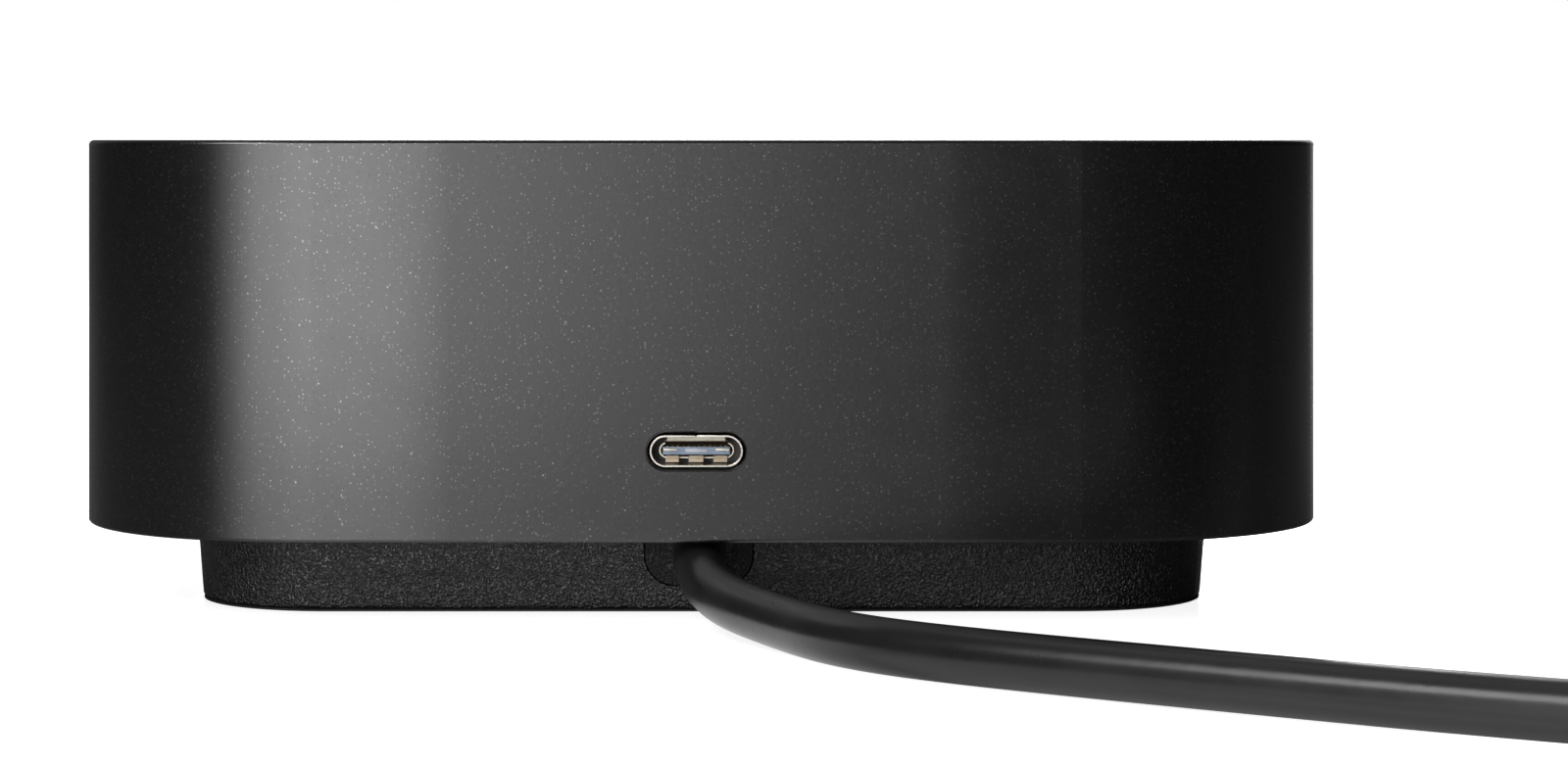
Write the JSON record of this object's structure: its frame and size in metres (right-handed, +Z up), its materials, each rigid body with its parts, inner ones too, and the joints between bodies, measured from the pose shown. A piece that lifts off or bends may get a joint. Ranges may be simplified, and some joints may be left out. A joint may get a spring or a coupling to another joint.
{
  "type": "docking station",
  "caption": "Low rounded-square desktop docking station on a smaller plinth, with sockets in its walls, a push button and a captive cable put away in a coil.",
  "frame": {"origin": "on the table under the middle of the housing", "axes": "+Z up, -Y towards the front wall with the single socket and the cable, +X to the right seen from the front"},
  "size_m": [0.2087, 0.2161, 0.0455],
  "materials": {
    "housing_paint": "charcoal paint with fine bright flecks",
    "plinth_black": "coarse spark texture",
    "sole_rubber": "matt",
    "screw_steel": "zinc plated",
    "ballast_steel": "rolled",
    "collar_black": "smooth satin",
    "cord_jacket": "satin thermoplastic jacket",
    "connector_plastic": "plain",
    "inner_plastic": "plain",
    "tie_fabric": "hook-and-loop strap",
    "plug_grip_black": "satin",
    "plug_steel": "drawn steel",
    "port_steel": "nickel plated",
    "tongue_black": "plain",
    "contact_gold": "gold plated",
    "jack_black": "plain",
    "lock_steel": "stamped",
    "panel_black": "fine texture",
    "lamp_clear": "clear moulded",
    "board_green": "solder mask",
    "chip_black": "moulded",
    "pad_grey": "soft pad",
    "heatsink_aluminium": "extruded",
    "ferrite_grey": "pressed",
    "can_aluminium": "sleeveless can",
    "button_black": "satin gloss",
    "switch_plastic": "plain",
    "plunger_plastic": "plain",
    "ribbon_white": "film"
  },
  "bodies": {
    "dock": {"housing": "housing_paint", "base_tray": "plinth_black", "rubber_sole": "sole_rubber", "base_screws": "screw_steel", "ballast_plate": "ballast_steel", "cable_collar": "collar_black", "cord_tail": "cord_jacket", "cable_connector": "connector_plastic", "cable_clamp": "inner_plastic", "clamp_screws": "screw_steel", "cord": "cord_jacket", "cord_coil": "cord_jacket", "cord_end": "cord_jacket", "cord_tie": "tie_fabric", "plug_grip": "plug_grip_black", "plug_shell": "plug_steel", "main_board": "board_green", "board_screws": "screw_steel", "usb_c_shell": "port_steel", "usb_c_tongue": "tongue_black", "usb_c_contacts": "contact_gold", "usb_c_springs": "contact_gold", "side_usb_shells": "port_steel", "side_usb_tongues": "tongue_black", "audio_jack": "jack_black", "lock_plate": "lock_steel", "rear_panel": "panel_black", "rj45_shield": "port_steel", "rj45_jack": "jack_black", "rj45_lamps": "lamp_clear", "rj45_contacts": "contact_gold", "rear_usb_shell": "port_steel", "rear_usb_tongues": "tongue_black", "hdmi_shell": "port_steel", "hdmi_tongue": "tongue_black", "dp_shell": "port_steel", "dp_tongues": "tongue_black", "dc_jack": "jack_black", "dc_pin": "contact_gold", "display_chip": "chip_black", "hub_chip": "chip_black", "lan_chip": "chip_black", "power_chips": "chip_black", "thermal_pads": "pad_grey", "heatsink": "heatsink_aluminium", "heatsink_screws": "screw_steel", "lan_transformer": "chip_black", "power_inductors": "ferrite_grey", "capacitors": "can_aluminium", "button_board": "board_green", "tact_switch": "switch_plastic", "light_pipe": "lamp_clear", "led": "lamp_clear", "button_board_screws": "screw_steel", "ffc_connectors": "connector_plastic", "ribbon_cable": "ribbon_white"},
    "button": {"power_button": "button_black"},
    "plunger": {"switch_plunger": "plunger_plastic"}
  },
  "joints": [
    {"name": "button_press", "type": "slide", "parent": "dock", "child": "button", "axis": [0, 0, -1], "range_m": [0, 0.0006], "stiffness_N_per_m": 900, "springref_m": -0.001},
    {"name": "plunger_press", "type": "slide", "parent": "dock", "child": "plunger", "axis": [0, 0, -1], "range_m": [0, 0.0006]}
  ],
  "couplings": [
    {"joint": "plunger_press", "follows": "button_press", "ratio": 1}
  ]
}
